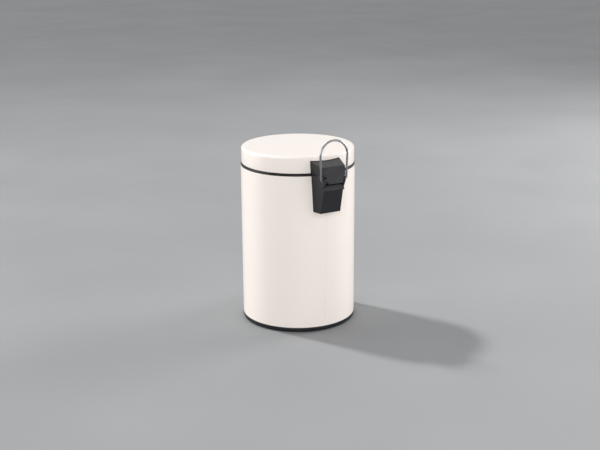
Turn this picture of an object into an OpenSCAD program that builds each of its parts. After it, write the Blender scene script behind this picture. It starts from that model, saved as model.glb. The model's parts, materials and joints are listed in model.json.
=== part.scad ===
// Round pedal bin: painted steel body and lid, black plastic fittings, lift-out bucket.
// Millimetres. +Z is up, the pedal faces -Y and the hinge +Y. The origin is on the floor, on the body's axis.

/* [Body] */
// Outer diameter of the steel body
body_d = 170; // [168:0.5:172]
// Height of the body's upper edge above the floor
body_top = 237.3; // [236.8:0.1:237.6]
// Thickness of the body and lid sheet
sheet_t = 0.5; // [0.4:0.05:0.6]
// Height of the black base rim that shows below the body
base_rim_h = 7.2; // [6.8:0.1:7.6]

/* [Lid] */
// Height of the lid's lower edge above the floor
lid_bottom = 241; // [240.8:0.1:241.4]
// Height of the lid from its lower edge to its crown
lid_h = 25.4; // [25:0.2:27]
// How far the crown stands above the lid's shoulder
lid_crown = 1; // [0.5:0.1:1.5]
// Radius between the lid's wall and its top
lid_fillet = 3.5; // [3:0.5:5]
// How much smaller the lid's radius is than the body's
lid_inset = 1; // [0.8:0.1:1.2]

/* [Hinge] */
// Distance of the hinge axis behind the body's axis
hinge_y = 106.5; // [106:0.1:107]
// Height of the hinge axis
hinge_z = 234.5; // [234:0.1:235]
// Half width of the hinge fitting where it meets the lid
hinge_half_w = 23.6; // [23.2:0.1:23.8]
// Opening angle of the lid
lid_open_deg = 80; // [70:1:82]

/* [Carry handle] */
// Diameter of the handle wire
wire_d = 3; // [2.6:0.1:3]
// Half width of the handle's arch at the wire's centre
arch_half_w = 21.8; // [21.5:0.1:23]
// Height of the arch's top at the wire's centre
arch_top = 291.5; // [285:0.5:300]

/* [Pedal] */
// Distance of the pedal pivot in front of the body's axis
pivot_front = 36; // [34:1:38]
// Height of the pedal pivot
pivot_z = 16.8; // [16.5:0.1:17.2]
// Width of the pedal tread
tread_w = 44; // [36:1:50]
// Diameter of the push rod
rod_d = 3.5; // [3:0.1:3.6]

/* [Bucket] */
// Outer radius of the bucket wall under its flange
bucket_top_r = 75.2; // [73:0.2:75.4]
// Outer radius of the bucket at its bottom
bucket_bottom_r = 65; // [60:0.5:66]
// Height of the bucket's bottom above the floor
bucket_z = 43; // [42:0.5:60]
// Thickness of the bucket wall
bucket_t = 1.8; // [1.5:0.1:2]

/* [Hidden] */
$fn = 64;

cream = [0.93, 0.9, 0.86];
black = [0.13, 0.13, 0.14];
rubber = [0.08, 0.08, 0.08];
steel = [0.75, 0.76, 0.78];
bucket_grey = [0.16, 0.16, 0.17];

// Body and rings
body_r = body_d / 2;
body_in_r = body_r - sheet_t;
lid_r = body_r - lid_inset;
ring_top = lid_bottom - 0.7;
ring_r = body_r - 0.1;
spigot_r = body_in_r - 0.1;
spigot_in_r = 82.2;
ring_spigot_z = body_top - 7;
ledge_z = body_top - 0.7;
ledge_t = 2;
ledge_in_r = 77.3;
feet_h = 0.8;
tray_floor_z = 2;
tray_floor_top = 3.6;
tray_floor_r = 76;
tray_wall_top = 20;
seam_w = 1;
seam_depth = 0.15;
// Openings for the pedal in the body and for the lever in the tray's wall: half width, lower and upper edge
pedal_slot = [10, 8.5, 25];
tray_front_slot = [10.5, 7.2, 30];
tray_rear_slot = [12.5, 7.2, 30];
rib_turns = [-30, 30, 150, 210];
rib_in_r = 26;
rib_out_r = 83;
rib_w = 2;
rib_h = 5;
foot_turns = [45:90:315];
foot_ring_r = 80;
foot_r = 3.5;
foot_h = 1.55;
buffer_y = 62;
buffer_pad = [11, 3];
buffer_dome = [9, 4.9];
// Longer than anything that a cutter passes through
past = 100;
tall = 300;

// Fixings: pan-head screws of one size, all with their heads inside
screw_r = 1.5;
screw_head_r = 3.2;
screw_head_h = 2;
screw_len = 12;
boss_r = 3.2;
boss_bore_r = 1.55;
screw_hole_r = screw_r + 0.2;
cross_l = 4;
cross_w = 0.8;
plate_t = 1;
plate_half_w = 17;
housing_plate_z = [184.5, 229.5];
cap_plate_z = [245, 256];
contact_gap = 0.05;
housing_plate_r = body_in_r - contact_gap - plate_t;
cap_plate_r = lid_r - sheet_t - 2 * contact_gap - plate_t;

// Hinge fitting, seen from the side as [y, z]
wall_t = 2.2;
draft_y = 0.2;
// The part under the lip narrows more
draft_y_low = 0.255;
draft_z = 0.045;
draft_y0 = 82;
draft_z0 = 257;
side_reach = 30;
boss_y = [80, 98];
boss_bore_end = 95.5;
ear_r = 5.2;
split_z = hinge_z + ear_r;
hood_z = split_z + 0.8;
ear_in = 14.4;
barrel_half = 14;
barrel_r = 4.6;
pin_clear = 0.05;
housing_z = 184.2;
housing_floor_front = 97.2;
lip_y = 107.3;
lip_z = 219.2;
lower_face_top = [106, 218.6];
ledge_low = [107.3, 220.4];
ledge_high = [104, 226.9];
cap_front_top = [105.9, 253.6];
cap_front_low = [112.6, 230.4];
// The nose's lower corners are cut off from this height down to this half width
nose_cut_z = 236.8;
nose_low_half = 11.6;
cap_slope = (cap_front_low[0] - cap_front_top[0]) / (cap_front_top[1] - cap_front_low[1]);
cap_top_fall = 0.24;
cap_screw = [12, 250];
housing_screws_low = [10, 193];
housing_screws_high = [12.5, 219];

// Linkage: the rod lifts the cap's arm, and rod and lever move in proportion to the lid
rod_r = rod_d / 2;
rod_y_top = 92.5;
arm = hinge_y - rod_y_top;
half_open = lid_open_deg / 2;
rod_gap = 1.1;
rod_tip_z = hinge_z - arm * tan(half_open) - (rod_r + rod_gap) / cos(half_open);
arm_len = 20;
arm_t = 3.2;
arm_half_w = 4;
arm_web_half_w = 1.2;
rod_y = 77.4;
hook_z = 12;
hook_end = 12;
rod_clip_x = [8.4, 10.9];
rod_clip_r = 3.6;
guide_half_w = 6;
guide_y = 74;
guide_z = [62, 74];
lever_tilt = atan((pivot_z - hook_z) / (rod_y + pivot_front));
lever_rear = norm([rod_y + pivot_front, pivot_z - hook_z]);
rod_bend = 5;
joggle_z = 190;
// Body's opening for the rod: half width, lower and upper edge
rod_slot = [4, 191, 223];

// Lever section, with its origin on the pivot axis
lever_half_w = 8;
lever_t = 1.5;
lever_top = 4.2;
lever_deep = -3.8;
lever_shallow = 1.2;
lever_front = -74;
// Where the channel starts to deepen, and where it is full depth
lever_flare = [-46, -38];
lever_end = lever_rear + 5;
pin_r = 2;
pin_half_l = 15.5;
bush_r = 3;
bush_flange_r = 4.4;
clip_r = 3.8;
clip_t = 1.2;
lug_in = 9.3;
lug_t = 3.5;
lug_foot = 9;
lug_top_r = 5;
tread_back = -52.5;
tread_wall = 2;
tread_z = [lever_top - 3.4, lever_top + 4.6];
tread_bow = 2;
front_reach = cap_front_low[0];
groove_xs = [-15:6:15];
groove_w = 1.2;
groove_depth = 0.6;
rivet_ys = [-66, -58];
rivet_r = 1.5;
rivet_hole_r = 1.6;
rivet_head_r = 3.1;
rivet_tail_r = 2.6;
rivet_well_r = 3.4;
rivet_seat_z = lever_top + 2.6;

function arc(cx, cy, r, from, to, n = 8) =
    [for (i = [0:n]) let (a = from + (to - from) * i / n) [cx + r * cos(a), cy + r * sin(a)]];

// Half width of the drafted hinge fitting at a given y and z
function half_w(y, z, draft) = hinge_half_w - draft * (y - draft_y0) - draft_z * (draft_z0 - z);

// Solid of revolution of a list of [radius, z] points
module turned(points) rotate_extrude($fn = 180) polygon(points);

// Prism of a [y, z] outline between two x positions
module across(outline, x0, x1)
    translate([x0, 0, 0]) rotate([90, 0, 90]) linear_extrude(x1 - x0) polygon(outline);

// Cylinders along X and along Y
module rod_x(r, x0, x1) translate([x0, 0, 0]) rotate([0, 90, 0]) cylinder(r = r, h = x1 - x0);
module rod_y(r, y0, y1) translate([0, y0, 0]) rotate([-90, 0, 0]) cylinder(r = r, h = y1 - y0);

module mirrored_x() {
    children();
    mirror([1, 0, 0]) children();
}

// Block between the two drafted side planes of the hinge fitting, drawn in by inset
module drafted(inset, draft = draft_y) {
    ys = [70, 130];
    zs = [175, 270];
    corner = [for (z = zs) for (y = ys) for (s = [-1, 1]) [s * (half_w(y, z, draft) - inset), y, z]];
    polyhedron(corner, [[0, 1, 3, 2], [4, 6, 7, 5], [0, 4, 5, 1], [1, 5, 7, 3], [3, 7, 6, 2], [2, 6, 4, 0]]);
}

// Screw along +Y whose head's seat is at y0
module screw(x, y0, z, len) translate([x, 0, z]) {
    difference() {
        rod_y(screw_head_r, y0 - screw_head_h, y0);
        for (size = [[cross_l, cross_w], [cross_w, cross_l]])
            translate([-size[0] / 2, y0 - screw_head_h - 1, -size[1] / 2]) cube([size[0], 2, size[1]]);
    }
    rod_y(screw_r, y0, y0 + len);
}

// Block through an opening given as its half width, lower and upper edge
module slot_cutter(slot, y0, y1, grow = 0)
    translate([-slot[0] - grow, y0, slot[1] - grow])
        cube([2 * (slot[0] + grow), y1 - y0, slot[2] - slot[1] + 2 * grow]);

module housing_screw_spots() for (s = [housing_screws_low, housing_screws_high])
    translate([s[0], 0, s[1]]) children();

module cap_screw_spot() translate([cap_screw[0], 0, cap_screw[1]]) children();

// Where a screw head at x bears on the inside of a curved plate
function seat_y(r, x) = sqrt(r * r - pow(x + screw_head_r, 2)) - contact_gap;

// ---------- Steel body and the two black rings ----------

module outer_body() color(cream) difference() {
    turned([[body_in_r, base_rim_h], [body_r, base_rim_h], [body_r, body_top], [body_in_r, body_top]]);
    slot_cutter(rod_slot, 0, past);
    slot_cutter(pedal_slot, -past, 0);
    mirrored_x() housing_screw_spots() rod_y(screw_hole_r, 0, past);
    translate([-seam_w / 2, body_r - seam_depth, 0]) cube([seam_w, 1, tall]);
}

module top_ring() color(black) turned([
    [spigot_in_r, ring_spigot_z], [spigot_r, ring_spigot_z], [spigot_r, body_top + 0.1],
    [ring_r, body_top + 0.1], [ring_r, ring_top - 0.4], [ring_r - 0.4, ring_top], [spigot_in_r, ring_top],
    [spigot_in_r, ledge_z], [ledge_in_r, ledge_z], [ledge_in_r, ledge_z - ledge_t],
    [spigot_in_r, ledge_z - ledge_t]
]);

module base_tray() color(black) difference() {
    union() {
        turned([
            [0, tray_floor_z], [tray_floor_r, tray_floor_z], [tray_floor_r + 1, feet_h],
            [ring_r - 1, feet_h], [ring_r, feet_h + 1],
            [ring_r, base_rim_h - 0.1], [spigot_r, base_rim_h - 0.1], [spigot_r, tray_wall_top],
            [spigot_in_r, tray_wall_top], [spigot_in_r, tray_floor_top], [0, tray_floor_top]
        ]);
        mirrored_x() pivot_lug();
        for (a = rib_turns) rotate(a)
            translate([rib_in_r, -rib_w / 2, tray_floor_z]) cube([rib_out_r - rib_in_r, rib_w, rib_h]);
    }
    slot_cutter(tray_front_slot, -past, -60);
    slot_cutter(tray_rear_slot, 60, past);
    on_pivot() rod_x(pin_r + contact_gap, -20, 20);
    foot_spots() cylinder(r = foot_r + 0.1, h = foot_h + contact_gap);
}

// Upright of the pedal bearing, gusseted to the tray floor
module pivot_lug() across([
    [-pivot_front - lug_foot, tray_floor_z + 1], [-pivot_front + lug_foot, tray_floor_z + 1],
    for (p = arc(-pivot_front, pivot_z, lug_top_r, 0, 180)) p
], lug_in, lug_in + lug_t);

module foot_spots() for (a = foot_turns) rotate(a) translate([foot_ring_r, 0, 0]) children();

module rubber_feet() color(rubber) foot_spots() cylinder(r = foot_r, h = foot_h);

module lever_buffer() color(rubber) translate([0, buffer_y, tray_floor_top])
    for (step = [buffer_pad, buffer_dome]) cylinder(r = step[0], h = step[1]);

// ---------- Pedal, with its origin on the pivot axis until it is placed ----------

module on_lever() translate([0, -pivot_front, pivot_z]) rotate([-lever_tilt, 0, 0]) children();

module pedal_lever() color(steel) on_lever() difference() {
    across([
        [lever_front, lever_shallow], [lever_flare[0], lever_shallow], [lever_flare[1], lever_deep],
        [lever_end, lever_deep], [lever_end, lever_top - 1], [lever_end - 1, lever_top],
        [lever_front, lever_top]
    ], -lever_half_w, lever_half_w);
    across([
        [lever_front - 1, lever_deep - 1], [lever_end + 5, lever_deep - 1], [lever_end + 5, lever_top + 1],
        [lever_end - 14, lever_top + 1], [lever_end - 14, lever_top - lever_t],
        [lever_front - 1, lever_top - lever_t]
    ], -lever_half_w + lever_t, lever_half_w - lever_t);
    rod_x(bush_r + contact_gap, -10, 10);
    hook_slot();
    rivet_spots() cylinder(r = rivet_hole_r, h = 10);
}

module rivet_spots() for (y = rivet_ys) translate([0, y, 0]) children();

// Slot that lets the rod's hook stay upright while the lever swings
module hook_slot() {
    for (y = [lever_rear - 0.3, lever_rear + 1.9]) translate([0, y, 0]) rod_x(rod_r + 0.2, -10, 10);
    translate([-10, lever_rear - 0.3, -rod_r - 0.2]) cube([20, 2.2, rod_d + 0.4]);
}

module pedal_tread() color(black) on_lever() difference() {
    tread_plan(tread_w / 2, tread_z[0], tread_z[1]);
    tread_plan(tread_w / 2 - tread_wall, tread_z[0] - 0.6, lever_top + contact_gap);
    translate([-lever_half_w - 0.3, tread_back - 3, lever_top - 5])
        cube([2 * lever_half_w + 0.6, 6, 5 + contact_gap]);
    for (x = groove_xs) translate([x - groove_w / 2, -80, tread_z[1] - groove_depth]) cube([groove_w, 60, 1]);
    rivet_spots() cylinder(r = rivet_hole_r, h = 20);
    rivet_spots() translate([0, 0, rivet_seat_z]) cylinder(r = rivet_well_r, h = 3);
}

// Tread outline: straight back edge and a front edge that bows out
module tread_plan(half, z0, z1) {
    front = pivot_front - front_reach + (tread_w / 2 - half);
    translate([0, 0, z0]) linear_extrude(z1 - z0) polygon([
        for (p = arc(half - 4, front + 8, 4, -20, -70, 4)) p,
        for (i = [0:8]) let (x = (1 - i / 4) * (half - 8)) [x, front + tread_bow * pow(x / half, 2)],
        for (p = arc(4 - half, front + 8, 4, 250, 200, 4)) p,
        [-half, tread_back], [half, tread_back]
    ]);
}

module tread_rivets() color(steel) on_lever() rivet_spots() {
    translate([0, 0, lever_top - lever_t - 1]) cylinder(r = rivet_tail_r, h = 1);
    translate([0, 0, lever_top - lever_t]) cylinder(r = rivet_r, h = 5);
    translate([0, 0, rivet_seat_z + 0.1]) cylinder(r = rivet_head_r, h = 1.2);
}

module on_pivot() translate([0, -pivot_front, pivot_z]) children();

module pivot_pin() color(steel) on_pivot() rod_x(pin_r, -pin_half_l, pin_half_l);

module pivot_clips() color(steel) on_pivot() mirrored_x() difference() {
    rod_x(clip_r, lug_in + lug_t + 0.1, lug_in + lug_t + 0.1 + clip_t);
    rod_x(pin_r + 0.02, 0, 20);
}

module pivot_bushes() color("ivory") on_pivot() mirrored_x() difference() {
    union() {
        rod_x(bush_r, lever_half_w - lever_t - 0.2, lever_half_w + 0.5);
        rod_x(bush_flange_r, lever_half_w + 0.1, lug_in - 0.2);
    }
    rod_x(pin_r + contact_gap, 0, 20);
}

// ---------- Push rod ----------

// Quarter bend in the YZ plane: starts at the origin going up, and ends going towards +Y
module bend_yz(r, bend)
    translate([0, bend, 0]) rotate([0, 0, -90]) rotate([90, 0, 0]) rotate_extrude(angle = 90)
        translate([bend, 0]) circle(r = r);

module push_rod() color(steel) {
    hook_up = rod_bend - 1;
    // hook along +X, its bend and the long upright
    translate([0, rod_y, hook_z]) rod_x(rod_r, hook_up, hook_end);
    translate([hook_up, rod_y, hook_z + hook_up]) rotate([90, 0, 0]) rotate([0, 0, 180])
        rotate_extrude(angle = 90) translate([hook_up, 0]) circle(r = rod_r);
    translate([0, rod_y, hook_z + hook_up]) cylinder(r = rod_r, h = joggle_z - hook_z - hook_up);
    // outward joggle through the body's slot
    translate([0, rod_y, joggle_z]) {
        bend_yz(rod_r, rod_bend);
        translate([0, 0, rod_bend]) rod_y(rod_r, rod_bend, rod_y_top - rod_y - rod_bend);
    }
    translate([0, rod_y_top, joggle_z + 2 * rod_bend]) {
        rotate([180, 0, 0]) bend_yz(rod_r, rod_bend);
        rotate_extrude() polygon([
            [0, 0], [rod_r, 0], for (p = arc(0, rod_tip_z - joggle_z - 2 * rod_bend, rod_r, 0, 90)) p
        ]);
    }
}

module rod_clip() color("white") translate([0, rod_y, hook_z]) difference() {
    rod_x(rod_clip_r, rod_clip_x[0], rod_clip_x[1]);
    rod_x(rod_r + 0.02, 0, hook_end);
}

module rod_guide() color(black) difference() {
    translate([-guide_half_w, guide_y, guide_z[0]]) cube([2 * guide_half_w, 12, guide_z[1] - guide_z[0]]);
    difference() {
        cylinder(r = 120, h = tall);
        cylinder(r = body_in_r - contact_gap, h = tall);
    }
    translate([0, rod_y, 0]) cylinder(r = rod_r + 0.15, h = tall);
}

// ---------- Hinge: housing on the body, cap on the lid ----------

housing_low = [
    [76, housing_z], [housing_floor_front, housing_z], lower_face_top, [lower_face_top[0] - 1, lip_z + 2],
    [76, lip_z + 2]
];
housing_high = [
    [76, lower_face_top[1]], lower_face_top, [lip_y, lip_z], ledge_low,
    [105.8, 223.6], for (p = arc(hinge_y, hinge_z, ear_r, -30, 90)) p, [76, split_z]
];
housing_inside = [
    [70, housing_z + wall_t], [housing_floor_front - 1.6, housing_z + wall_t],
    [lower_face_top[0] - wall_t, lower_face_top[1]], [ledge_high[0] - wall_t, ledge_high[1]],
    [98, 229], [98, 250], [70, 250]
];
barrel_room = [
    [90, ledge_high[1] + 2], [ledge_high[0] - wall_t, ledge_high[1]], ledge_high, ledge_low,
    [125, ledge_low[1]], [125, 250], [90, 250]
];

module hinge_housing() color(black) difference() {
    union() {
        difference() {
            union() {
                intersection() {
                    across(housing_low, -side_reach, side_reach);
                    drafted(0, draft_y_low);
                }
                intersection() {
                    across(housing_high, -side_reach, side_reach);
                    drafted(0);
                }
            }
            intersection() {
                across(housing_inside, -side_reach, side_reach);
                drafted(wall_t, draft_y_low);
            }
            across(barrel_room, -ear_in, ear_in);
        }
        mirrored_x() housing_screw_spots() rod_y(boss_r, boss_y[0], boss_y[1]);
    }
    cylinder(r = body_r + contact_gap, h = tall);
    mirrored_x() housing_screw_spots() rod_y(boss_bore_r, 70, boss_bore_end);
    hinge_bore();
}

module hinge_bore() translate([0, hinge_y, hinge_z]) rod_x(wire_d / 2 + pin_clear, -side_reach, side_reach);

// Curved plate of one thickness inside a wall, between two heights
module curved_plate(r, zs) intersection() {
    turned([[r, zs[0]], [r + plate_t, zs[0]], [r + plate_t, zs[1]], [r, zs[1]]]);
    translate([-plate_half_w, 0, 0]) cube([2 * plate_half_w, past, tall]);
}

// Curved steel plate inside the body that the housing's screws pull against
module housing_plate() color(steel) difference() {
    curved_plate(housing_plate_r, housing_plate_z);
    slot_cutter(rod_slot, 0, past, 0.5);
    mirrored_x() housing_screw_spots() rod_y(screw_hole_r, 0, past);
}

module housing_screws() color(steel) mirrored_x() for (s = [housing_screws_low, housing_screws_high])
    screw(s[0], seat_y(housing_plate_r, s[0]), s[1], screw_len);

// Height of the cap's sloping top at y, and its front face at z
function cap_top_z(y) = cap_front_top[1] + cap_top_fall * (cap_front_top[0] - y);
function cap_front_y(z) = cap_front_top[0] + cap_slope * (cap_front_top[1] - z);

module hinge_cap() color(black) difference() {
    union() {
        cap_hood();
        cap_nose();
        cap_arm();
        mirrored_x() cap_screw_spot() rod_y(boss_r, boss_y[0], boss_y[1]);
    }
    cylinder(r = lid_r + contact_gap, h = tall);
    mirrored_x() cap_screw_spot() rod_y(boss_bore_r, 70, boss_bore_end);
    hinge_bore();
}

// Hood: sloping top, front and drafted sides, open underneath
module cap_hood() difference() {
    intersection() {
        across([
            [76, hood_z], [cap_front_y(hood_z), hood_z], cap_front_top, [76, cap_top_z(76)]
        ], -side_reach, side_reach);
        drafted(0);
    }
    intersection() {
        across([
            [70, 230], [cap_front_y(230) - wall_t * 1.05, 230],
            [cap_front_top[0] - wall_t * 0.8, cap_front_top[1] - wall_t], [70, cap_top_z(70) - wall_t]
        ], -side_reach, side_reach);
        drafted(wall_t);
    }
}

// Nose: the front plate between the ears, and the hinge barrel behind it
module cap_nose() {
    intersection() {
        across([
            cap_front_low, [cap_front_y(hood_z), hood_z], [cap_front_y(hood_z + 2), hood_z + 2],
            [cap_front_y(hood_z + 2) - 2.5, hood_z + 2], [cap_front_low[0] - 2.6, cap_front_low[1]]
        ], -barrel_half, barrel_half);
        translate([0, tall, 0]) rotate([90, 0, 0]) linear_extrude(tall) polygon([
            [-barrel_half, tall], [-barrel_half, nose_cut_z], [-nose_low_half, cap_front_low[1]],
            [nose_low_half, cap_front_low[1]], [barrel_half, nose_cut_z], [barrel_half, tall]
        ]);
    }
    translate([0, hinge_y, hinge_z]) rod_x(barrel_r, -barrel_half, barrel_half);
    across([
        [cap_front_y(hood_z + 8) - 1, hood_z + 8], [cap_front_y(hood_z) - 1, hood_z - 4],
        [hinge_y - 3, hinge_z + 3], [hinge_y - 5, hood_z + 11]
    ], -barrel_half, barrel_half);
}

// Arm that the push rod lifts; its lower face runs through the hinge axis
module cap_arm() translate([0, hinge_y, hinge_z]) {
    rotate([half_open, 0, 0]) across([
        [-arm_len, 0], [0, 0], [0, arm_t + 1.2], [-arm_len + 1.2, arm_t], [-arm_len, arm_t - 1.2]
    ], -arm_half_w, arm_half_w);
    across([[-14, -8.5], [-2, 0], [-2, 17], [-14, 19.5]], -arm_web_half_w, arm_web_half_w);
}

module cap_plate() color(steel) difference() {
    curved_plate(cap_plate_r, cap_plate_z);
    mirrored_x() cap_screw_spot() rod_y(screw_hole_r, 0, past);
}

module cap_screws() color(steel) mirrored_x()
    screw(cap_screw[0], seat_y(cap_plate_r, cap_screw[0]), cap_screw[1], screw_len);

// ---------- Lid ----------

lid_shoulder = lid_bottom + lid_h - lid_crown;

// Curl of the lid's lower edge: its outer radius, and the height of the leg inside
curl_r = 1.2;
curl_leg = 2.6;
bumper_h = 0.6;

// Outline of the lid's skin, drawn in by inset: crown, rounded shoulder and wall, down to z
function lid_line(inset, z) = concat(
    [for (i = [0:8]) let (r = (lid_r - lid_fillet) * i / 8)
        [r, lid_shoulder - inset + lid_crown * (1 - pow(r / (lid_r - lid_fillet), 2))]],
    arc(lid_r - lid_fillet, lid_shoulder - lid_fillet, lid_fillet - inset, 88, 0),
    [[lid_r - inset, z]]
);
function backwards(list) = [for (i = [len(list) - 1:-1:0]) list[i]];

module lid() color(cream) difference() {
    turned(concat(
        lid_line(0, lid_bottom + 0.8),
        arc(lid_r - curl_r, lid_bottom + curl_r, curl_r, 0, -180, 6),
        [[lid_r - 2 * curl_r, lid_bottom + curl_leg], [lid_r - 2 * curl_r + sheet_t, lid_bottom + curl_leg]],
        arc(lid_r - curl_r, lid_bottom + curl_r, curl_r - sheet_t, -180, 0, 6),
        backwards(lid_line(sheet_t, lid_bottom + 1.3))
    ));
    mirrored_x() cap_screw_spot() rod_y(screw_hole_r, 0, past);
}

module lid_bumpers() color("silver") for (a = [30, 150, 270]) rotate(a)
    translate([lid_r - curl_r, 0, ring_top]) cylinder(r1 = 1, r2 = 0.7, h = bumper_h, $fn = 24);

// ---------- Carry handle ----------

elbow_r = 2.5;
pin_in = 9.6;
pin_out = 18.2;
elbow_z = hinge_z + elbow_r;
arch_z = arch_top - arch_half_w;
// The leg is the line that touches both the elbow's and the arch's circle
centres = norm([pin_out, arch_z - elbow_z]);
leg_lean = asin((arch_half_w - elbow_r) / centres) - atan2(pin_out, arch_z - elbow_z);
leg_length = sqrt(pow(centres, 2) - pow(arch_half_w - elbow_r, 2));

// The straight leg is a little slimmer than the bends, and its ends close inside them
leg_slimmer = 0.1;
leg_lap = 0.4;

// Wire in the plane of the handle: the two hinge pins, elbows, legs and the arch
module carry_handle() color(steel) translate([0, hinge_y, 0]) {
    mirrored_x() {
        translate([0, 0, hinge_z]) rod_x(wire_d / 2, pin_in, pin_out);
        translate([pin_out, 0, elbow_z]) rotate([90, 0, 0]) rotate([0, 0, -90])
            rotate_extrude(angle = 90 - leg_lean) translate([elbow_r, 0]) circle(d = wire_d);
        translate([pin_out + elbow_r * cos(leg_lean), 0, elbow_z - elbow_r * sin(leg_lean)])
            rotate([0, leg_lean, 0]) translate([0, 0, -leg_lap])
                cylinder(d = wire_d - leg_slimmer, h = leg_length + 2 * leg_lap);
    }
    translate([0, 0, arch_z]) rotate([90, 0, 0]) rotate([0, 0, -leg_lean])
        rotate_extrude(angle = 180 + 2 * leg_lean) translate([arch_half_w, 0]) circle(d = wire_d);
}

// ---------- Bucket ----------

flange_r = 80.6;
flange_z = ledge_z + 0.2;
flange_t = 2;
bail_r = 73.5;
bail_d = 2.4;
bail_z = flange_z + flange_t + bail_d / 2 + 0.1;
bail_elbow = 2.5;
bail_end = 80.6;
lug_x = [76.3, 79.3];
lug_r = 2.7;
bottom_round = 3;

module inner_bucket() color(bucket_grey) difference() {
    union() {
        turned([
            [0, bucket_z], [bucket_bottom_r - bottom_round, bucket_z],
            [bucket_bottom_r, bucket_z + bottom_round],
            [bucket_top_r, flange_z - 3], [bucket_top_r + 0.6, flange_z], [flange_r, flange_z],
            [flange_r, flange_z + flange_t - 0.5], [flange_r - 0.5, flange_z + flange_t],
            [bucket_top_r - bucket_t, flange_z + flange_t],
            [bucket_bottom_r - bucket_t, bucket_z + bottom_round + bucket_t],
            [bucket_bottom_r - bucket_t - bottom_round, bucket_z + bucket_t], [0, bucket_z + bucket_t]
        ]);
        mirrored_x() across([
            [-5, flange_z + 1], [5, flange_z + 1], for (p = arc(0, bail_z, lug_r, 0, 180)) p
        ], lug_x[0], lug_x[1]);
    }
    translate([0, 0, bail_z]) rod_x(bail_d / 2 + pin_clear, -past, past);
}

module bucket_bail() color(steel) translate([0, 0, bail_z]) {
    mirrored_x() {
        rod_x(bail_d / 2, bail_r + bail_elbow, bail_end);
        translate([bail_r + bail_elbow, -bail_elbow, 0]) rotate([0, 0, 90])
            rotate_extrude(angle = 90) translate([bail_elbow, 0]) circle(d = bail_d);
    }
    translate([0, -bail_elbow, 0]) rotate([0, 0, 180])
        rotate_extrude(angle = 180) translate([bail_r, 0]) circle(d = bail_d);
}

outer_body();
top_ring();
base_tray();
rubber_feet();
lever_buffer();
pedal_lever();
pedal_tread();
tread_rivets();
pivot_pin();
pivot_clips();
pivot_bushes();
push_rod();
rod_clip();
rod_guide();
hinge_housing();
housing_plate();
housing_screws();
hinge_cap();
cap_plate();
cap_screws();
lid();
lid_bumpers();
carry_handle();
inner_bucket();
bucket_bail();
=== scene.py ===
"""Looks of the round pedal bin: painted body and lid, black fittings, wire handle, bucket and pedal.

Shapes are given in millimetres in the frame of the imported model, and turned into metres when a mesh
is made. Angles are in degrees unless a line says otherwise.
"""
import json
import math

import bpy
import bmesh
from mathutils import Matrix, Vector


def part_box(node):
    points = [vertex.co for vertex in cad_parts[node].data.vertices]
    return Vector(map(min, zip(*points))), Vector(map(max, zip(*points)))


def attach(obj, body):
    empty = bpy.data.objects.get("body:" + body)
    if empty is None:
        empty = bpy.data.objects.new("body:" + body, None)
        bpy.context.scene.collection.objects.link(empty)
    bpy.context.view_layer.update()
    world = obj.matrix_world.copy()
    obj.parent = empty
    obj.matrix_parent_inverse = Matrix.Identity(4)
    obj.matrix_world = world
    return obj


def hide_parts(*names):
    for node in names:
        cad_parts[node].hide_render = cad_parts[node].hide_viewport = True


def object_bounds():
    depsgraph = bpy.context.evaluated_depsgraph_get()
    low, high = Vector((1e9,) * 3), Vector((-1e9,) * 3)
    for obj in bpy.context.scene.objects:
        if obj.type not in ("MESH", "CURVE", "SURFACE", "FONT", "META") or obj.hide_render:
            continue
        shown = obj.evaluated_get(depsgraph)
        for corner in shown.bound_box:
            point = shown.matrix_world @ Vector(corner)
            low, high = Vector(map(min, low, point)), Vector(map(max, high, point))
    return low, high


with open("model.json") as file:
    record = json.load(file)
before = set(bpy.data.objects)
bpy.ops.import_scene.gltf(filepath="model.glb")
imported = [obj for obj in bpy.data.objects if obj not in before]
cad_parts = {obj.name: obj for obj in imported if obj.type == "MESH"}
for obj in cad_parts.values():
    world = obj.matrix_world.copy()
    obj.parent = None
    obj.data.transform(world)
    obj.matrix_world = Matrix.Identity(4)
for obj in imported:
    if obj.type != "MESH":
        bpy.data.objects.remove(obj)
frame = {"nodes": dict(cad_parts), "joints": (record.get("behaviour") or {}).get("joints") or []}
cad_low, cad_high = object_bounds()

MM = 0.001


# ---------- Sizes taken from the frame ----------

def box_mm(node):
    """Lowest and highest corner of a node, in millimetres."""
    low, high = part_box(node)
    return low / MM, high / MM


joints = {joint["name"]: joint for joint in frame["joints"]}
hinge = Vector(joints["lid_open"]["pos_m"]) / MM
pivot = Vector(joints["pedal_press"]["pos_m"]) / MM
bail_axis = Vector(joints["bail_swing"]["pos_m"]) / MM

body_low, body_high = box_mm("outer_body")
ring_low, ring_high = box_mm("top_ring")
lid_low, lid_high = box_mm("lid")
housing_low = box_mm("hinge_housing")[0]
handle_low, handle_high = box_mm("carry_handle")
bucket_low, bucket_high = box_mm("inner_bucket")
bail_low, bail_high = box_mm("bucket_bail")
tread_low, tread_high = box_mm("pedal_tread")
rod_low, rod_high = box_mm("push_rod")
clip_low, clip_high = box_mm("rod_clip")

BODY_R = body_high.x
LID_R = lid_high.x
RING_R = ring_high.x
ROD_Y = (clip_low.y + clip_high.y) / 2


# ---------- Sizes that several pieces share ----------

# Thickness of the sheet metal, radius of the push rod, and columns round a large turned piece
SHEET = 0.5
ROD_R = 1.75
EVEN = 192

# Screws that hold the housing to the body and the cap to the lid, as (x, z)
HOUSING_SCREWS = [(x * side, z) for x, z in ((10, 193), (12.5, 219)) for side in (-1, 1)]
CAP_SCREWS = [(12, 250), (-12, 250)]


# ---------- Mesh helpers ----------

def full_turn(steps):
    """Angles of a whole turn in even steps."""
    return [360 * i / steps for i in range(steps)]


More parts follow.
